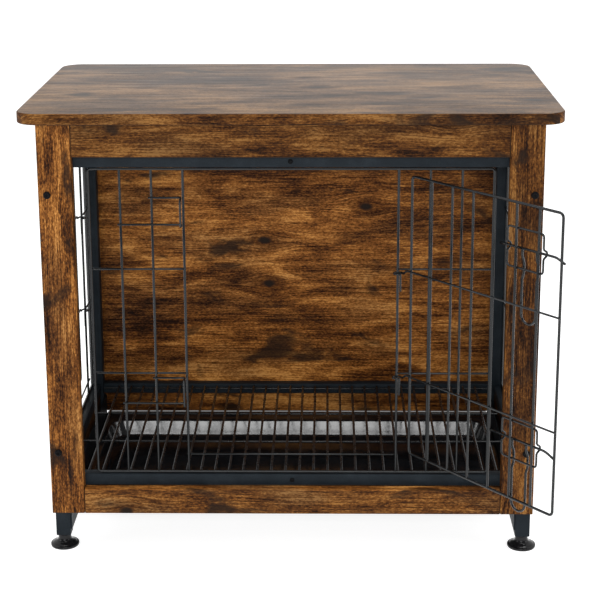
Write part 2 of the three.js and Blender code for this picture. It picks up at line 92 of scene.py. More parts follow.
class Shell:
    """Vertices and faces gathered for one piece."""

    def __init__(self, place=CRATE):
        self.place = place
        self.points = []
        self.faces = []

    def grid(self, rings, closed=False, start=None, end=None):
        """Joins rings of equally many points; start and end are pole points that close the ends."""
        first = len(self.points)
        count = len(rings[0])
        for ring in rings:
            self.points.extend(ring)
        pairs = len(rings) if closed else len(rings) - 1
        for i in range(pairs):
            a = first + i * count
            b = first + ((i + 1) % len(rings)) * count
            for k in range(count):
                n = (k + 1) % count
                self.faces.append((a + k, a + n, b + n, b + k))
        for pole, ring_at, flip in ((start, 0, True), (end, len(rings) - 1, False)):
            if pole is None:
                continue
            self.points.append(pole)
            top = len(self.points) - 1
            base = first + ring_at * count
            for k in range(count):
                n = (k + 1) % count
                self.faces.append((base + n, base + k, top) if flip else (base + k, base + n, top))

    def cap(self, ring, flip=False):
        """One flat face through a ring of points."""
        first = len(self.points)
        self.points.extend(ring)
        face = list(range(first, first + len(ring)))
        self.faces.append(tuple(reversed(face)) if flip else tuple(face))

    def tube(self, points, radius, closed=False, sides=12):
        """A round wire through the points, with domed ends."""
        points = [Vector(p) for p in points]
        count = len(points)
        tangents = []
        for i in range(count):
            before = points[i - 1] if closed or i else points[i]
            after = points[(i + 1) % count] if closed or i < count - 1 else points[i]
            arriving = (points[i] - before).normalized()
            leaving = (after - points[i]).normalized()
            tangents.append((arriving + leaving).normalized())
        normal = tangents[0].orthogonal().normalized()
        normals = [normal]
        for i in range(1, count):
            turn = tangents[i - 1].rotation_difference(tangents[i])
            normal = (turn @ normal).normalized()
            normals.append(normal)
        twist = 0.0
        if closed:
            last = tangents[-1].rotation_difference(tangents[0]) @ normals[-1]
            twist = math.atan2(last.cross(normals[0]).dot(tangents[0]), last.dot(normals[0]))

        def ring(i, size, shift):
            side = tangents[i].cross(normals[i])
            angle0 = twist * i / count
            middle = points[i] + tangents[i] * shift
            return [middle + (normals[i] * math.cos(angle0 + TURN * k / sides)
                              + side * math.sin(angle0 + TURN * k / sides)) * size
                    for k in range(sides)]

        rings = [ring(i, radius, 0) for i in range(count)]
        if closed:
            self.grid(rings, closed=True)
            return
        dome = 0.5 * radius
        for end, sign in ((0, 1), (count - 1, -1)):
            rings[end] = ring(end, radius, sign * dome)
        rings.insert(0, ring(0, 0.8 * radius, 0.25 * dome))
        rings.append(ring(count - 1, 0.8 * radius, -0.25 * dome))
        self.grid(rings, start=points[0], end=points[-1])

    def nugget(self, at, radius):
        """A small weld bead."""
        at = Vector(at)
        rings = []
        for i in range(1, 4):
            polar = math.pi * i / 4
            rings.append([at + Vector((radius * math.sin(polar) * math.cos(TURN * k / 8),
                                       radius * math.sin(polar) * math.sin(TURN * k / 8),
                                       -radius * math.cos(polar))) for k in range(8)])
        self.grid(rings, start=at - Vector((0, 0, radius)), end=at + Vector((0, 0, radius)))

    def build(self, name, body, nodes, material, smooth_angle=40):
        mesh = bpy.data.meshes.new(name)
        mesh.from_pydata([self.place(p) for p in self.points], [], self.faces)
        return finish_piece(mesh, name, body, nodes, [material], smooth_angle)


def finish_piece(mesh, name, body, nodes, materials, smooth_angle):
    """Turns a mesh into a piece of the crate, with outward faces and sharp edges kept sharp."""
    work = bmesh.new()
    work.from_mesh(mesh)
    bmesh.ops.remove_doubles(work, verts=work.verts, dist=1e-6)
    bmesh.ops.recalc_face_normals(work, faces=work.faces)
    work.to_mesh(mesh)
    work.free()
    for material in materials:
        mesh.materials.append(material)
    mesh.shade_smooth()
    mesh.set_sharp_from_angle(angle=math.radians(smooth_angle))
    piece = bpy.data.objects.new(name, mesh)
    bpy.context.scene.collection.objects.link(piece)
    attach(piece, body)
    if nodes:
        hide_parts(*nodes)
    return piece


def bend_points(start, corner, end, steps):
    """Points on the bend that rounds a corner, from start to end."""
    shares = [i / steps for i in range(steps + 1)]
    return [start.lerp(corner, t).lerp(corner.lerp(end, t), t) for t in shares]


def bent(points, bend, slight=50):
    """The corners of a path become short bends. Turns below `slight` degrees get shorter ones."""
    points = [Vector(p) for p in points]
    path = [points[0]]
    for before, here, after in zip(points, points[1:], points[2:]):
        arriving, leaving = here - before, after - here
        gentle = arriving.angle(leaving) < math.radians(slight)
        share, steps = (0.35, 3) if gentle else (0.45, 6)
        size = min(bend, share * arriving.length, share * leaving.length)
        start = here - arriving.normalized() * size
        end = here + leaving.normalized() * size
        path.extend(bend_points(start, here, end, steps))
    path.append(points[-1])
    return path


def rounded_loop(x0, x1, y0, y1, radius, z, steps):
    """A level rectangle with rounded corners, anticlockwise from above."""
    loop = []
    corners = ((x1 - radius, y0 + radius, -90), (x1 - radius, y1 - radius, 0),
               (x0 + radius, y1 - radius, 90), (x0 + radius, y0 + radius, 180))
    for cx, cy, start in corners:
        for i in range(steps + 1):
            angle = math.radians(start + 90 * i / steps)
            loop.append(Vector((cx + radius * math.cos(angle), cy + radius * math.sin(angle), z)))
    return loop


# ---- Procedural materials ----

class Graph:
    """Short calls that add shader nodes to one material."""

    def __init__(self, name):
        self.material = bpy.data.materials.new(name)
        self.material.use_nodes = True
        self.nodes = self.material.node_tree.nodes
        self.links = self.material.node_tree.links
        self.shader = self.nodes["Principled BSDF"]

    def feed(self, socket, value):
        if isinstance(value, bpy.types.NodeSocket):
            self.links.new(value, socket)
        elif value is not None:
            socket.default_value = value

    def add(self, kind, **settings):
        node = self.nodes.new("ShaderNode" + kind)
        for key, value in settings.items():
            setattr(node, key, value)
        return node

    def math(self, operation, *values, clamp=False):
        node = self.add("Math", operation=operation, use_clamp=clamp)
        for socket, value in zip(node.inputs, values):
            self.feed(socket, value)
        return node.outputs[0]

    def vector(self, x, y, z=0.0):
        node = self.add("CombineXYZ")
        for socket, value in zip(node.inputs, (x, y, z)):
            self.feed(socket, value)
        return node.outputs[0]

    def noise(self, where, scale=1.0, detail=2.0, roughness=0.5, distortion=0.0):
        node = self.add("TexNoise")
        for key, value in (("Vector", where), ("Scale", scale), ("Detail", detail),
                           ("Roughness", roughness), ("Distortion", distortion)):
            self.feed(node.inputs[key], value)
        return node.outputs["Fac"]

    def step(self, value, low, high, to_low=0.0, to_high=1.0):
        """A smooth step between two levels."""
        node = self.add("MapRange", interpolation_type="SMOOTHSTEP")
        for socket, v in zip(node.inputs, (value, low, high, to_low, to_high)):
            self.feed(socket, v)
        return node.outputs[0]

    def ramp(self, value, stops):
        node = self.add("ValToRGB")
        elements = node.color_ramp.elements
        while len(elements) < len(stops):
            elements.new(0.5)
        for element, (at, color) in zip(elements, stops):
            element.position = at
            element.color = (*color, 1)
        self.feed(node.inputs[0], value)
        return node.outputs[0]

    def mix(self, factor, a, b, blend="MIX"):
        node = self.add("Mix", data_type="RGBA", blend_type=blend)
        node.clamp_factor = True
        for socket, value in ((node.inputs[0], factor), (node.inputs[6], a), (node.inputs[7], b)):
            self.feed(socket, (*value, 1) if isinstance(value, tuple) else value)
        return node.outputs[2]

    def bump(self, height, strength, distance, under=None):
        node = self.add("Bump")
        self.feed(node.inputs["Strength"], strength)
        self.feed(node.inputs["Distance"], distance)
        self.feed(node.inputs["Height"], height)
        self.feed(node.inputs["Normal"], under)
        return node.outputs[0]

    def place(self):
        """The surface's place in metres."""
        return self.add("TexCoord").outputs["Object"]

    def set(self, **values):
        for key, value in values.items():
            self.feed(self.shader.inputs[key.replace("_", " ")], value)


def wood(name, grain, seed, look, gain=1.0):
    """Rustic printed board. grain is the axis that the grain runs along; gain lightens it.

    u is the place along the grain, v across it, and w the same as v but wavy and bent round knots.
    """
    g = Graph(name)
    split = g.add("SeparateXYZ")
    g.feed(split.inputs[0], g.place())
    x, y, z = split.outputs
    along, first, second = {"X": (x, z, y), "Y": (y, z, x), "Z": (z, x, y)}[grain]
    u = g.math("ADD", along, seed * 1.37)
    v = g.math("ADD", g.math("ADD", first, second), seed * 0.73)

    def spot(run, across, pitch, layer=0.0):
        """Where a noise is read, with its detail per metre along and across the grain."""
        return g.vector(g.math("MULTIPLY", u, run), g.math("MULTIPLY", across, pitch), layer)

    # Knots: cells stretched along the grain. Growth lines part round the middle of a cell.
    knot_long, knot_wide = look["knot_cell"]
    uk = g.math("DIVIDE", u, knot_long)
    vk = g.math("DIVIDE", v, knot_wide)
    cells = g.add("TexVoronoi", voronoi_dimensions="2D", feature="F1")
    g.feed(cells.inputs["Vector"], g.vector(uk, vk))
    g.feed(cells.inputs["Scale"], 1.0)
    g.feed(cells.inputs["Randomness"], 0.8)
    middle = g.add("SeparateXYZ")
    g.feed(middle.inputs[0], cells.outputs["Position"])
    chance = g.add("SeparateColor")
    g.feed(chance.inputs[0], cells.outputs["Color"])
    du = g.math("SUBTRACT", uk, middle.outputs[0])
    dv = g.math("SUBTRACT", vk, middle.outputs[1])
    near = g.math("ADD", g.math("MULTIPLY", du, du), g.math("MULTIPLY", dv, dv))
    is_knot = g.step(chance.outputs[0], look["knot_level"], look["knot_level"] + 0.06)
    reach = g.math("MULTIPLY", g.math("EXPONENT", g.math("MULTIPLY", near, -16.0)), is_knot)

    # The growth-line coordinate: across the grain, wavy, and bent round the knots.
    wave = g.noise(spot(2.2, v, 7.0), 1.0, 3, 0.55)
    wavy = g.math("MULTIPLY_ADD", wave, look["wave"], v)
    away = g.math("MULTIPLY", g.math("MULTIPLY", dv, knot_wide), reach)
    w = g.math("SUBTRACT", wavy, g.math("MULTIPLY", away, 0.9))

    def lines(run, pitch, shift):
        """Growth lines about `pitch` metres apart."""
        at = g.vector(g.math("MULTIPLY_ADD", u, run, shift), g.math("DIVIDE", w, pitch))
        return g.noise(at, 1.0, 3, 0.6)

    medium = lines(7.0, 0.0050, 7.7)
    fibre = lines(14.0, 0.0016, 1.9)
    grit = g.noise(spot(260.0, v, 620.0, 4.4), 1.0, 2, 0.6)
    patch = g.noise(spot(13.0, w, 44.0, 2.7), 1.0, 5, 0.62, 0.5)
    tone_at = spot(4.0, v, 13.0, 9.3)
    tone = g.noise(tone_at, 1.0, 3, 0.55)

    level = 0.5
    parts = ((medium, look["lines"]), (fibre, 0.8), (grit, 0.75), (patch, 0.95), (tone, 0.75))
    for part, share in parts:
        swing = share * look["contrast"]
        level = g.math("ADD", level, g.math("MULTIPLY_ADD", part, swing, -0.5 * swing))
    stops = [(at, tuple(gain * c for c in tint)) for at, tint in look["stops"]]
    color = g.ramp(g.math("MAXIMUM", level, 0.0, clamp=True), stops)

    # Greyed stretches, scorched patches and knots lie over the growth lines.
    greyed = g.step(g.noise(tone_at, 1.6, 3, 0.5), 0.46, 0.62, 0.0, look["grey_share"])
    color = g.mix(greyed, color, look["grey"], "MULTIPLY")
    burnt = g.noise(spot(8.0, w, 19.0, 6.1), 1.0, 4, 0.6, 0.8)
    ragged = g.math("ADD", burnt, g.math("MULTIPLY_ADD", fibre, 0.10, -0.05))
    scorch = g.step(ragged, look["scorch"], look["scorch"] + 0.12, 0.0, 0.86)
    color = g.mix(scorch, color, look["dark"])
    rough_near = g.math("ADD", near, g.math("MULTIPLY_ADD", patch, 0.012, -0.006))
    core = g.math("MULTIPLY", g.step(rough_near, 0.0075, 0.0015), is_knot)
    halo = g.math("MULTIPLY", g.step(rough_near, 0.055, 0.004, 0.0, 0.7), is_knot)
    color = g.mix(halo, color, look["knot"], "MULTIPLY")
    color = g.mix(core, color, look["dark"])
    pore = g.noise(g.vector(g.math("MULTIPLY", u, 70.0), g.math("DIVIDE", v, 0.0009), 5.5), 1.0, 1, 0.5)
    pores = g.step(pore, 0.62, 0.74, 0.0, 0.55)
    color = g.mix(pores, color, look["pore"], "MULTIPLY")

    g.set(Base_Color=color)
    g.set(Roughness=g.step(medium, 0.2, 0.8, look["rough"] + 0.08, look["rough"] - 0.06))
    relief = g.math("SUBTRACT", g.math("MULTIPLY_ADD", fibre, 0.5, medium), g.math("MULTIPLY", pores, 0.6))
    g.set(Normal=g.bump(relief, 0.35, 0.00035))
    g.set(Specular_IOR_Level=look["specular"])
    return g.material


def coated_metal(name, color, rough, speckle, relief, specular=0.5):
    """Powder-coated steel: fine orange peel, faint mottling and slightly worn sheen."""
    g = Graph(name)
    at = g.place()
    mottle = g.noise(at, 38, 4, 0.6)
    peel = g.noise(at, speckle, 2, 0.5)
    light = tuple(min(1, 1.35 * c + 0.004) for c in color)
    dark = tuple(0.72 * c for c in color)
    tinted = g.ramp(g.math("MULTIPLY_ADD", peel, 0.35, g.math("MULTIPLY", mottle, 0.65)),
                    [(0.3, dark), (0.5, color), (0.7, light)])
    g.set(Base_Color=tinted, Roughness=g.step(mottle, 0.3, 0.7, rough - 0.06, rough + 0.08))
    g.set(Normal=g.bump(peel, relief, 0.0002), Specular_IOR_Level=specular)
    return g.material


def plastic(name, color, rough, scuff, relief, specular=0.5):
    """Moulded black plastic with a faint flow pattern and fine scuffs."""
    g = Graph(name)
    at = g.place()
    split = g.add("SeparateXYZ")
    g.feed(split.inputs[0], at)
    x, y, z = split.outputs
    flow = g.noise(at, 26, 4, 0.55)
    streak_at = g.vector(g.math("MULTIPLY", x, 30), g.math("MULTIPLY", y, 420),
                         g.math("MULTIPLY", z, 120))
    streaks = g.noise(streak_at, 1.0, 3, 0.6)
    light = tuple(min(1, 1.8 * c + 0.001) for c in color)
    g.set(Base_Color=g.mix(g.step(flow, 0.35, 0.7), color, light))
    g.set(Roughness=g.step(g.math("MULTIPLY_ADD", streaks, 0.6, g.math("MULTIPLY", flow, 0.4)),
                           0.4, 0.7, rough, rough + scuff))
    g.set(Normal=g.bump(flow, relief, 0.002), Specular_IOR_Level=specular)
    return g.material


BOARD = {
    "knot_cell": (0.15, 0.085), "knot_level": 0.55, "wave": 0.014, "contrast": 1.75, "lines": 0.4,
    "stops": [(0.0, (0.0055, 0.0018, 0.0006)), (0.25, (0.032, 0.0100, 0.0022)),
              (0.5, (0.092, 0.0320, 0.0064)), (0.72, (0.170, 0.066, 0.0135)),
              (1.0, (0.31, 0.145, 0.038))],
    "grey": (0.66, 0.70, 0.86), "grey_share": 0.75, "scorch": 0.565, "dark": (0.011, 0.0062, 0.0040),
    "knot": (0.34, 0.27, 0.22), "pore": (0.35, 0.30, 0.26), "rough": 0.50, "specular": 0.07,
}
TOP = dict(BOARD, stops=[(0.0, (0.026, 0.013, 0.0060)), (0.3, (0.062, 0.031, 0.0135)),
                         (0.5, (0.100, 0.053, 0.0240)), (0.75, (0.150, 0.083, 0.0360)),
                         (1.0, (0.23, 0.130, 0.058))],
           scorch=0.61, knot_level=0.75, rough=0.42, specular=0.26, contrast=2.2, grey_share=0.9)
BACK = dict(BOARD, wave=0.022, scorch=0.57, knot_level=0.70, contrast=1.6)
LOW_BOARD = dict(BOARD, grey=(0.72, 0.79, 1.05), grey_share=0.95)

steel = coated_metal("slate_powder_coat", (0.009, 0.0125, 0.016), 0.42, 900, 0.25, 0.08)
wire_coat = coated_metal("wire_coating", (0.0036, 0.0048, 0.0056), 0.16, 1400, 0.1, 0.35)
grid_coat = coated_metal("floor_wire_coating", (0.010, 0.011, 0.012), 0.26, 1400, 0.15, 0.5)
# The boards' dark rounded edges are painted shade: dark lines at the seams and under the top, mottled like
# a coat.
painted_edge_shade = coated_metal("board_edge_painted_shade", (0.024, 0.011, 0.0050), 0.6, 500, 0.2, 0.1)
fastener_black = coated_metal("fastener_black_oxide", (0.003, 0.003, 0.0035), 0.45, 2000, 0.2, 0.08)
tray_black = plastic("tray_gloss_black", (0.006, 0.006, 0.007), 0.08, 0.08, 0.10, 1.0)
foot_black = plastic("foot_black_plastic", (0.003, 0.003, 0.0035), 0.12, 0.10, 0.05, 0.25)


# ---- Wooden boards ----

EDGE_ROUND = 0.9
FLAT = 0.999  # a face is flat, not rounded, if its normal points this nearly along an axis


def plank(node, grain, seed, gain=0.7, look=BOARD, painted_top_light=1.0):
    """A board that fills its CAD node's box.

    Its rounded edges are painted dark, as shade at the seams, at both ends. Along its length they are dark
    too, unless it is a post or a top-light factor is given; that paints its top face and the edges beside
    it lighter, as light falling on them.
    """
    low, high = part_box(node)
    mesh = bpy.data.meshes.new(node + "_board")
    work = bmesh.new()
    bmesh.ops.create_cube(work, size=1)
    for vertex in work.verts:
        vertex.co = Vector(low[i] + (vertex.co[i] + 0.5) * (high[i] - low[i]) for i in range(3))
    bmesh.ops.bevel(work, geom=work.edges[:], offset=EDGE_ROUND * MM, segments=3, profile=0.5,
                    affect="EDGES")
    work.to_mesh(mesh)
    work.free()
    piece = finish_piece(mesh, node + "_board", "crate", [node],
                         [wood(node + "_wood", grain, seed, look, gain), painted_edge_shade], 60)
    # A copy of the wood painted lighter for the top face: painted light.
    if painted_top_light != 1.0:
        mesh.materials.append(wood(node + "_top_wood", grain, seed, look, gain * painted_top_light))
    axis = "XYZ".index(grain)
    # Slot 1 is the painted shade on the rounded edges, slot 2 the painted light on the top face.
    dark, painted_lit_top = 1, 2
    for face in mesh.polygons:
        rounded = max(abs(v) for v in face.normal) < FLAT
        at_end = abs(face.normal[axis]) > 0.05
        if rounded and (at_end or (grain != "Z" and painted_top_light == 1.0)):
            face.material_index = dark
        elif face.normal.z > 0.5 and painted_top_light != 1.0:
            face.material_index = painted_lit_top
    weighted = piece.modifiers.new("weighted_normals", "WEIGHTED_NORMAL")
    weighted.keep_sharp = True
    return piece


def tabletop_piece():
    """The top, with rounded corners. Its lower rounded edge is painted dark all round, as shade under the
    top.
    """
    low, high = box_mm("tabletop")
    radius, edge = 30, 1.6
    shell = Shell()
    rings = []
    angles = [math.pi / 2 * i / 4 for i in range(5)]
    arc = [(edge * (1 - math.sin(a)), edge * (1 - math.cos(a))) for a in angles]
    for z, sign in ((low[2], -1), (high[2], 1)):
        for inset, drop in arc if sign < 0 else reversed(arc):
            rings.append(rounded_loop(low[0] + inset, high[0] - inset, low[1] + inset, high[1] - inset,
                                      radius - inset, z - sign * drop, 10))
    shell.grid(rings)
    shell.cap(rings[0], flip=True)
    shell.cap(rings[-1])
    piece = shell.build("tabletop_board", "crate", ["tabletop"],
                        wood("tabletop_wood", "X", 4, TOP, 0.93), 50)
    piece.data.materials.append(wood("tabletop_front_edge_wood", "X", 7, BOARD, 0.66))
    piece.data.materials.append(wood("tabletop_side_edge_wood", "Y", 8, BOARD, 0.8))
    piece.data.materials.append(painted_edge_shade)
    # Slot 3 is the painted shade on the lower rounded edge.
    front_edge, side_edge, dark = 1, 2, 3
    for face in piece.data.polygons:
        if -FLAT < face.normal.z < -0.25:
            face.material_index = dark
        elif face.normal.z < 0.85:
            sideways = abs(face.normal.x) > abs(face.normal.y)
            face.material_index = side_edge if sideways else front_edge
    return piece


def wooden_body():
    tabletop_piece()
    plank("front_top_rail", "X", 1, 0.66)
    # The bottom rail's top face is painted 2.2 times lighter: painted light.
    plank("front_bottom_rail", "X", 2, 0.90, LOW_BOARD, 2.2)
    plank("back_panel", "X", 8, 1.5, BACK)
    plank("front_left_post", "Z", 11, 1.45)
    plank("front_right_post", "Z", 14, 0.8)
    for i, side in enumerate(SIDES):
        plank(f"{side}_top_rail", "Y", 21 + i)
        plank(f"{side}_bottom_rail", "Y", 31 + i)


# ---- Steel frame ----

TUBE_CORNER, TUBE_WALL, TUBE_RIM = 1.7, 1.2, 0.25


def square_tube(node, axis):
    """A hollow square tube with rounded edges along one axis of its CAD node's box."""
    low, high = box_mm(node)
    a, b = [i for i in range(3) if i != axis]

    def ring(inset, at):
        flat = rounded_loop(low[a] + inset, high[a] - inset, low[b] + inset, high[b] - inset,
                            max(TUBE_CORNER - inset, 0.5), 0, 4)
        points = []
        for p in flat:
            point = [0, 0, 0]
            point[a], point[b], point[axis] = p.x, p.y, at
            points.append(Vector(point))
        return points

    shell = Shell()
    near, far, rim = low[axis], high[axis], TUBE_RIM
    shell.grid([ring(TUBE_WALL, near), ring(rim, near), ring(0, near + rim), ring(0, far - rim),
                ring(rim, far), ring(TUBE_WALL, far)], closed=True)
    return shell.build(node + "_steel", "crate", [node], steel, 35)


def steel_frame():
    for level in ("top", "bottom"):
        for end in ENDS:
            square_tube(f"{end}_{level}_tube", 0)
        for side in SIDES:
            square_tube(f"{side}_{level}_tube", 1)
    for end, side in CORNERS:
        square_tube(f"{end}_{side}_leg", 2)


# ---- Turned pieces ----

def turned(shell, profile, sides, at, toward):
    """A turned shape about `toward`. Each row is (radius, height, hexagon share of the outline)."""
    axis = Vector(toward)
    u = axis.orthogonal().normalized()
    v = axis.cross(u)
    rings = []
    for radius, height, hexagon in profile:
        ring = []
        for k in range(sides):
            angle = TURN * k / sides
            flat = math.cos(math.radians(30)) / math.cos((angle % (TURN / 6)) - math.radians(30))
            size = radius * (1 - hexagon + hexagon * flat)
            ring.append(Vector(at) + axis * height + (u * math.cos(angle) + v * math.sin(angle)) * size)
        rings.append(ring)
    shell.grid(rings, start=Vector(at) + axis * profile[0][1], end=Vector(at) + axis * profile[-1][1])


def foot_profile():
    """Rimmed base disc, shallow dome, fillet and neck, then the stem with level grooves."""
    rows = [(17.9, 0.0), (19.0, 0.35), (19.5, 1.3), (19.5, 3.0), (19.2, 3.7), (18.5, 4.1), (17.4, 4.15),
            (16.8, 4.4), (16.2, 5.1), (14.4, 6.1), (12.2, 7.0), (10.7, 8.0), (9.6, 9.3), (8.9, 11.0),
            (8.6, 13.0), (8.6, 17.0), (8.2, 17.7), (4.1, 17.7)]
    pitch, stem_low, stem_high = 1.25, 18.2, 43.0
    steps = int((stem_high - stem_low) / pitch)
    for i in range(steps):
        z = stem_low + i * pitch
        rows += [(4.0, z), (3.5, z + 0.5 * pitch)]
    rows += [(3.4, stem_high), (2.8, 43.9), (2.0, 44.0)]
    return [(r, z, 0) for r, z in rows]


def feet():
    for end, side in CORNERS:
        node = f"{end}_{side}_foot"
        low, high = box_mm(node)
        shell = Shell()
        middle = ((low[0] + high[0]) / 2, (low[1] + high[1]) / 2, 0)
        turned(shell, foot_profile(), 48, middle, (0, 0, 1))
        shell.build(node + "_levelling", node, [node], foot_black, 32)


def button_head(node, head_radius, head, socket):
    """A button-head fastener with a hexagon socket; its head stands on the -Y side."""
    low, high = box_mm(node)
    at = ((low[0] + high[0]) / 2, low[1] + head, (low[2] + high[2]) / 2)
    shank = 0.5 * head_radius
    profile = [(0.1, high[1] - at[1], 0), (shank, high[1] - at[1] - 0.4, 0), (shank, 0.0, 0)]
    outer = [(head_radius * 0.98, 0.0, 0), (head_radius, -0.12 * head, 0), (head_radius, -0.3 * head, 0),
             (0.94 * head_radius, -0.56 * head, 0), (0.82 * head_radius, -0.80 * head, 0),
             (0.68 * head_radius, -0.95 * head, 0), (0.6 * head_radius, -head, 0)]
    inner = [(socket * 1.06, -head, 1), (socket, -0.93 * head, 1), (socket, -0.4 * head, 1),
             (0.3, -0.3 * head, 1)]
    shell = Shell()
    turned(shell, profile + outer + inner, 36, at, (0, 1, 0))
    return shell.build(node + "_head", "crate", [node], fastener_black, 32)


def fasteners():
    for side in SIDES:
        for i in (1, 2):
            button_head(f"{side}_post_bolt_{i}", 5.0, 3.0, 2.3)
    for node in ("front_top_fixing", "front_bottom_fixing", "back_tube_fixing_1", "back_tube_fixing_2"):
        button_head(node, 3.2, 1.8, 1.5)


# ---- Tray ----

def tray_piece():
    """The pan, from its underside up to the flange and down its inside to the floor."""
    low, high = box_mm("tray")
    x0, x1, y0, y1 = low[0], high[0], low[1], high[1]
    base, rim = low[2], high[2]
    pan_side, pan_front, pan_back = 9.5, 20, 42  # how far the pan's walls stand in from the flange
    wall, draft = 2.0, 7.5
    foot, inside = draft + wall, base + wall  # where the inner walls meet the floor
    shell = Shell()

    def pan(inset, radius, z):
        return rounded_loop(x0 + pan_side + inset, x1 - pan_side - inset, y0 + pan_front + inset,
                            y1 - pan_back - inset, radius, z, 10)

    def flange(inset, radius, z):
        return rounded_loop(x0 + inset, x1 - inset, y0 + inset, y1 - inset, radius, z, 10)

    rings = [
        pan(draft + 5, 18, base), pan(draft + 2, 21, base + 0.6), pan(draft, 23, base + 2.4),
        pan(0.3, 24, rim - 2.2), flange(0.5, 3.5, rim - 1.7), flange(0.0, 4, rim - 1.2),
        flange(0.0, 4, rim - 0.5), flange(0.5, 3.5, rim), pan(1.2, 23.5, rim), pan(1.9, 23, rim - 0.4),
        pan(2.4, 22.5, rim - 1.4), pan(2.6, 22.5, rim - 2.0),
        pan(foot - 0.3, 21.3, inside + 3.1), pan(foot, 21, inside + 2.2),
        pan(foot + 1.4, 20, inside + 0.6), pan(foot + 4, 17, inside),
    ]
    shell.grid(rings)
    shell.cap(rings[0], flip=True)
    shell.cap(rings[-1])
    return shell.build("tray_pan", "tray", ["tray"], tray_black, 38)


# ---- Wire panels ----

FRAME_R, BAR_R, CROSS_R, WELD = 1.75, 1.65, 1.35, 0.6
PANEL_LOW, PANEL_HIGH, PANEL_CORNER = 111.5, 532.5, 4
MIDS = (397, 252)
THRESHOLD = 136
LATCH_LEVELS = (467.7, 219.7)
DOORWAY_HALF, PANEL_HALF = 140.3, 264
SIDE_PANEL_HALF, SIDE_DOORWAY = 163.5, 280.6
FRONT_WIRES_Y, SIDE_WIRES_X, SIDE_WIRES_MIDDLE = 19.3, 321, 204.5
KEEPER_PAST, KEEPER_ABOVE, KEEPER_BELOW, KEEPER_REACH = 2.7, 27, 9, 17.5
KEEPER_TOP_ARM, KEEPER_LOW_ARM, KEEPER_BEND = 43, 84, 3.5


def ring_wire(shell, x0, x1, z0, z1, y, bend):
    """The closed outer wire of a panel or door."""
    flat = rounded_loop(x0, x1, z0, z1, bend, 0, 5)
    shell.tube([(p.x, y, p.y) for p in flat], FRAME_R, closed=True)


def upright(shell, x, radius=BAR_R, y=0, low=PANEL_LOW, high=PANEL_HIGH):
    shell.tube([(x, y, low), (x, y, high)], radius)


def level_wire(shell, x0, x1, z, crossings):
    """A level wire behind the uprights, spot-welded to each one that it crosses."""
    y = BAR_R + CROSS_R - WELD
    bead_aside, bead_y, bead_r = 1.3, 1.4, 1.0
    shell.tube([(x0, y, z), (x1, y, z)], CROSS_R)
    for x in crossings:
        for side in (-1, 1):
            shell.nugget((x + side * bead_aside, bead_y, z), bead_r)


def keeper_wire(shell, latch_level):
    """The loop that catches one bolt, just past the strike wire on the left of the doorway."""
    x = -DOORWAY_HALF - KEEPER_PAST
    y = -(BAR_R + CROSS_R - WELD)
    high, low = latch_level + KEEPER_ABOVE, latch_level - KEEPER_BELOW
    path = [(x - KEEPER_TOP_ARM, y, high), (x, y, high), (x, -KEEPER_REACH, high),
            (x, -KEEPER_REACH, low), (x, y, low), (x - KEEPER_LOW_ARM, y, low)]
    shell.tube(bent(path, KEEPER_BEND), CROSS_R)


def front_panel_piece():
    """The wires on both sides of the doorway, and under it, with the two keepers."""
    shell = Shell(Place((0, FRONT_Y + FRONT_WIRES_Y * MM), (1, 0)))
    ring_wire(shell, -PANEL_HALF, PANEL_HALF, PANEL_LOW, PANEL_HIGH, 0, PANEL_CORNER)
    pitch = (PANEL_HALF - DOORWAY_HALF) / 3
    for side in (-1, 1):
        bars = [side * (DOORWAY_HALF + i * pitch) for i in range(3)]
        for i, x in enumerate(bars):
            upright(shell, x, BAR_R if i else FRAME_R)
        for z in MIDS:
            level_wire(shell, side * (DOORWAY_HALF - 1), side * PANEL_HALF, z, bars)
    level_wire(shell, -DOORWAY_HALF - 1, DOORWAY_HALF + 1, THRESHOLD, (-DOORWAY_HALF, DOORWAY_HALF))
    for z in LATCH_LEVELS:
        keeper_wire(shell, z)
    return shell.build("front_panel_wires", "crate", ["front_panel"], wire_coat)


def side_panels():
    """The left panel is the frame round the side door; the right one is filled with bars."""
    middle = FRONT_Y + SIDE_WIRES_MIDDLE * MM
    left = Shell(Place((-SIDE_WIRES_X * MM, middle), (0, -1)))
    half = SIDE_PANEL_HALF
    hinge = half - SIDE_DOORWAY
    ring_wire(left, -half, half, PANEL_LOW, PANEL_HIGH, 0, PANEL_CORNER)
    upright(left, hinge, FRAME_R)
    for z in MIDS:
        level_wire(left, -half, hinge + 1, z, (hinge,))
    level_wire(left, hinge - 1, half, THRESHOLD, (hinge,))
    left.build("left_panel_wires", "crate", ["left_panel"], wire_coat)

    right = Shell(Place((SIDE_WIRES_X * MM, middle), (0, 1)))
    ring_wire(right, -half, half, PANEL_LOW, PANEL_HIGH, 0, PANEL_CORNER)
    bars = [-half + 2 * half * i / 8 for i in range(1, 8)]
    for x in bars:
        upright(right, x)
    for z in MIDS:
        level_wire(right, -half, half, z, bars)
    right.build("right_panel_wires", "crate", ["right_panel"], wire_coat)


def floor_grid_piece():
    shell = Shell()
    bar_r, cross_r, overlap = 1.75, 1.45, 0.5
    bead_aside, bead_drop, bead_r = 1.1, 0.1, 0.9
    top, front, back, half, cross_half = 109, 32.6, 369, 279, 303
    inset = 2  # from the bars' ends to the first and last cross wires
    z = top - bar_r
    cross_z = z - bar_r - cross_r + overlap
    crosses = [front + inset + (back - front - 2 * inset) * i / 3 for i in range(4)]
    bars = [-half + 2 * half * i / 29 for i in range(30)]
    for x in bars:
        shell.tube([(x, front, z), (x, back, z)], bar_r, sides=10)
    for y in crosses:
        shell.tube([(-cross_half, y, cross_z), (cross_half, y, cross_z)], cross_r, sides=10)
        for x in bars:
            for side in (-1, 1):
                shell.nugget((x, y + side * bead_aside, z - bar_r - bead_drop), bead_r)
    return shell.build("floor_grid_wires", "crate", ["floor_grid"], grid_coat)


# ---- Doors ----

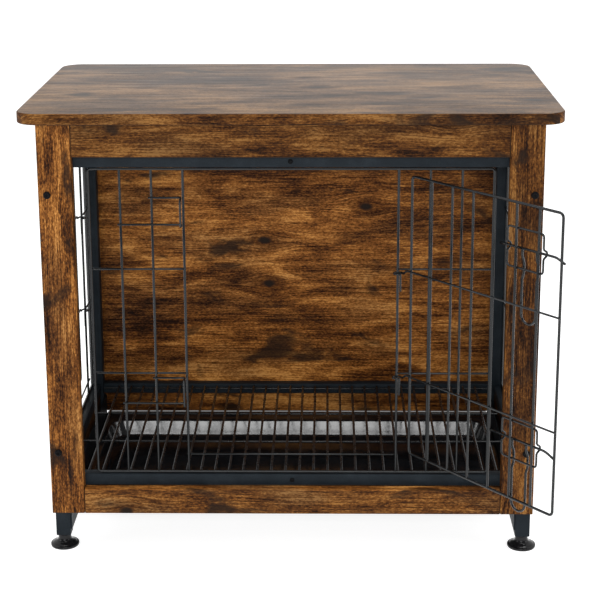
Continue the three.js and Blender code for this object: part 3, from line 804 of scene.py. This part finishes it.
DOOR_OFFSET, DOOR_FIRST, DOOR_WIDTH, DOOR_BARS = 7.9, 17.4, 261, 7
DOOR_LOW, DOOR_HIGH, DOOR_CORNER = 142.3, 524.5, 5.5
LOOP_R, LOOP_DROP, LOOP_LEAD, LOOP_LEG, LOOP_BEND, BAR_END = 5.3, 5, 12, 24, 2.4, 2.5
GUIDE_LEFT, GUIDE_RIGHT, GUIDE_HALF, GUIDE_CORNER = 187, 247, 25, 5
GUIDE_BUMP_OUT, GUIDE_BUMP_HALF, GUIDE_BUMP_TOP = 6, 6, 0.35
BOLT_R, BOLT_OFFSET, BOLT_BEND = 1.6, 12.6, 5
BOLT_BACK, BOLT_STRAIGHT, BOLT_TIP, TIP_DROP = 49.5, 44, 58, 5.5
HANDLE_HALF, HANDLE_DROP, HANDLE_BEND = 12, 94, 3
KINK_OUT, KINK_START, KINK_TOP, KINK_LOW, KINK_END = 3.8, 9.6, 18, 32, 39
FRONT_BOLTS_AT, SIDE_BOLTS_AT = (222, 215), 215


def door_place(hinge, slide):
    """A door's own frame: from its hinge, along the way that its bolts slide."""
    pos, along = joint(hinge)["pos_m"], joint(slide)["axis"]
    return Place((pos[0], pos[1]), (along[0], along[1]))


def hinged_bar(shell, out, z):
    """A level door wire whose end wraps round the hinge wire and hangs beside it."""
    low = z - LOOP_DROP
    path = [(DOOR_FIRST + DOOR_WIDTH + BAR_END, out * LOOP_R, z), (LOOP_LEAD, out * LOOP_R, z),
            (LOOP_LEAD / 2, out * LOOP_R, low)]
    steps = 18
    for i in range(steps + 1):
        angle = math.pi / 2 * (1 + 3 * i / steps)
        path.append((LOOP_R * math.cos(angle), out * LOOP_R * math.sin(angle), low))
    path.append((LOOP_R, 0, low - LOOP_LEG))
    shell.tube(bent(path, LOOP_BEND), CROSS_R)


def latch_guide(shell, out, z):
    """The welded rectangle whose two upright sides bulge outwards round the bolt."""
    y = out * (DOOR_OFFSET + BAR_R + CROSS_R - WELD)
    outer = y + out * GUIDE_BUMP_OUT
    left, right, half, bump, corner = GUIDE_LEFT, GUIDE_RIGHT, GUIDE_HALF, GUIDE_BUMP_HALF, GUIDE_CORNER
    top = bump * GUIDE_BUMP_TOP
    path = []

    def side(x, direction):
        for side_y, dz in ((y, -bump), (outer, -top), (outer, top), (y, bump)):
            path.append(Vector((x, side_y, z + direction * dz)))

    def turn(x, level, dx, dz, back):
        upright_end, level_end = Vector((x, y, level + dz)), Vector((x + dx, y, level))
        points = bend_points(upright_end, Vector((x, y, level)), level_end, 4)
        path.extend(reversed(points) if back else points)

    side(right, 1)
    turn(right, z + half, -corner, -corner, False)
    turn(left, z + half, corner, -corner, True)
    side(left, -1)
    turn(left, z - half, corner, corner, False)
    turn(right, z - half, -corner, corner, True)

    # Each point becomes two, a little towards its neighbours, which rounds the bulges.
    smooth = []
    count = len(path)
    for i in range(count):
        here = path[i]
        for other in (path[i - 1], path[(i + 1) % count]):
            smooth.append(here.lerp(other, min(0.3, 1.2 / max((here - other).length, 0.1))))
    shell.tube(smooth, CROSS_R, closed=True)
    bead_in, bead_y, bead_r = 5, y - out * 0.9, 1.0
    for x in (left, right):
        for dz in (-half + bead_in, half - bead_in):
            shell.nugget((x, bead_y, z + dz), bead_r)


def door_piece(body, out, place):
    """A door with its latch guides. out is 1 or -1, for the side of the hinge that it stands on."""
    shell = Shell(place)
    y = out * DOOR_OFFSET
    bead_aside, bead_out, bead_r = 1.2, 1.2, 0.9
    ring_wire(shell, DOOR_FIRST, DOOR_FIRST + DOOR_WIDTH, DOOR_LOW, DOOR_HIGH, y, DOOR_CORNER)
    bars = [DOOR_FIRST + DOOR_WIDTH * i / DOOR_BARS for i in range(DOOR_BARS + 1)]
    for x in bars[1:-1]:
        upright(shell, x, BAR_R, y, DOOR_LOW, DOOR_HIGH)
    for z in MIDS:
        hinged_bar(shell, out, z)
        for x in bars:
            for side in (-1, 1):
                shell.nugget((x + side * bead_aside, out * (LOOP_R + bead_out), z), bead_r)
    for z in LATCH_LEVELS:
        latch_guide(shell, out, z)
    return shell.build(body + "_wires", body, [body], wire_coat)


def bolt_piece(body, out, place, x, z):
    """A bolt with its bent tip, and the handle that hangs from it past the guide."""
    shell = Shell(place)
    y = out * BOLT_OFFSET
    y_kink, y_hang = y + out * KINK_OUT, y + out
    rod = [(x - BOLT_BACK, y, z), (x + BOLT_STRAIGHT, y, z), (x + BOLT_TIP, y, z - TIP_DROP)]
    shell.tube(bent(rod, BOLT_BEND, slight=1), BOLT_R)

    def strand(side):
        at = x + side * HANDLE_HALF
        return bent([(at, y, z), (at, y, z - KINK_START), (at, y_kink, z - KINK_TOP),
                     (at, y_kink, z - KINK_LOW), (at, y_hang, z - KINK_END)], HANDLE_BEND)

    arc = []
    steps = 16
    for i in range(steps + 1):
        angle = math.pi * (1 + i / steps)
        arc.append(Vector((x + HANDLE_HALF * math.cos(angle), y_hang,
                           z - HANDLE_DROP + HANDLE_HALF * (1 + math.sin(angle)))))
    shell.tube(strand(-1) + arc + list(reversed(strand(1))), BOLT_R)
    bead_aside, bead_r = 1.2, 1.0
    for side in (-1, 1):
        for dx in (-bead_aside, bead_aside):
            shell.nugget((x + side * HANDLE_HALF + dx, y, z - BOLT_R), bead_r)
    return shell.build(body + "_rod", body, [body], wire_coat)


def doors():
    front = door_place("front_door_hinge", "front_upper_latch_slide")
    side = door_place("side_door_hinge", "side_upper_latch_slide")
    door_piece("front_door", 1, front)
    door_piece("side_door", -1, side)
    for level, z, front_x in zip(("upper", "lower"), LATCH_LEVELS, FRONT_BOLTS_AT):
        bolt_piece(f"front_{level}_bolt", 1, front, front_x, z)
        bolt_piece(f"side_{level}_bolt", -1, side, SIDE_BOLTS_AT, z)


# ---- What the CAD keeps ----

def dress_nodes():
    """The tray runners and leg plugs keep their CAD shapes and take this script's materials."""
    dressed = [(f"{side}_tray_runner", steel) for side in SIDES]
    dressed += [(f"{end}_{side}_plug", foot_black) for end, side in CORNERS]
    for node, material in dressed:
        materials = frame["nodes"][node].data.materials
        materials.clear()
        materials.append(material)


# ---- Studio ----

def area_light(name, location, target, size, power):
    data = bpy.data.lights.new(name, "AREA")
    data.shape = "RECTANGLE"
    data.size, data.size_y = size
    data.energy = power
    light = bpy.data.objects.new(name, data)
    light.location = location
    light.rotation_euler = (Vector(target) - Vector(location)).to_track_quat("-Z", "Y").to_euler()
    bpy.context.scene.collection.objects.link(light)
    return light


def studio():
    """White surroundings that are darker in front of the crate, a pale floor and soft lights."""
    scene = bpy.context.scene
    world = bpy.data.worlds.new("studio_white")
    world.use_nodes = True
    nodes, links = world.node_tree.nodes, world.node_tree.links
    split = nodes.new("ShaderNodeSeparateXYZ")
    links.new(nodes.new("ShaderNodeTexCoord").outputs["Generated"], split.inputs[0])
    shade = nodes.new("ShaderNodeMapRange")
    shade.interpolation_type = "SMOOTHSTEP"
    # Strength 0.15 where the surroundings' y is below -0.40, in front, and 1.0 where it is above 0.
    for socket, value in zip(list(shade.inputs)[1:5], (-0.40, 0.0, 0.15, 1.0)):
        socket.default_value = value
    links.new(split.outputs[1], shade.inputs[0])
    links.new(shade.outputs[0], nodes["Background"].inputs[1])
    nodes["Background"].inputs[0].default_value = (1, 1, 1, 1)
    scene.world = world
    scene.view_settings.view_transform = "Standard"

    half = 40.0
    mesh = bpy.data.meshes.new("studio_floor")
    corners = [(-half, -half, 0), (half, -half, 0), (half, half, 0), (-half, half, 0)]
    mesh.from_pydata(corners, [], [(0, 1, 2, 3)])
    floor = bpy.data.objects.new("studio_floor", mesh)
    scene.collection.objects.link(floor)
    g = Graph("studio_floor_white")
    pale = [(0.3, (0.52, 0.52, 0.52)), (0.7, (0.56, 0.56, 0.56))]
    g.set(Base_Color=g.ramp(g.noise(g.place(), 3, 2, 0.5), pale))
    g.set(Roughness=0.8, Specular_IOR_Level=0.2, Emission_Color=(1, 1, 1, 1), Emission_Strength=0.78)
    mesh.materials.append(g.material)

    # The fill shines from the softbox's place, but nothing mirrors it.
    front_at, crate_at = (-0.15, -3.3, 1.25), (0, 0, 0.2)
    area_light("front_softbox", front_at, crate_at, (1.8, 1.2), 32)
    fill = area_light("front_fill", front_at, crate_at, (1.7, 1.2), 60)
    fill.visible_glossy = False
    for name, side in (("left_softbox", -1), ("right_softbox", 1)):
        area_light(name, (side * 3.2, -1.0, 1.25), crate_at, (1.4, 1.2), 16)
    area_light("top_softbox", (0.3, -0.3, 2.6), (0, 0, 0.3), (2.0, 1.6), 42)


def camera():
    """Looks slightly down at the front; the axis stands above the middle of the picture."""
    pitch, yaw, roll = 0.2574, -0.0169, 0.0039
    stands_at = Vector((46.47, -2026.9, 976.0)) * MM + Vector((0, FRONT_Y, 0))
    data = bpy.data.cameras.new("camera")
    data.sensor_width = 36
    data.lens = 96.945
    data.shift_y = -0.1
    data.clip_end = 100
    cam = bpy.data.objects.new("camera", data)
    forward = Vector((math.sin(yaw) * math.cos(pitch), math.cos(yaw) * math.cos(pitch),
                      -math.sin(pitch)))
    right = Vector((math.cos(yaw), -math.sin(yaw), 0))
    down = forward.cross(right)
    right_rolled = right * math.cos(roll) + down * math.sin(roll)
    up = right * math.sin(roll) - down * math.cos(roll)
    turn = Matrix((right_rolled, up, -forward)).transposed()
    cam.matrix_world = Matrix.Translation(stands_at) @ turn.to_4x4()
    bpy.context.scene.collection.objects.link(cam)
    bpy.context.scene.camera = cam


camera()
studio()
wooden_body()
steel_frame()
tray_piece()
front_panel_piece()
side_panels()
floor_grid_piece()
doors()
feet()
fasteners()
dress_nodes()
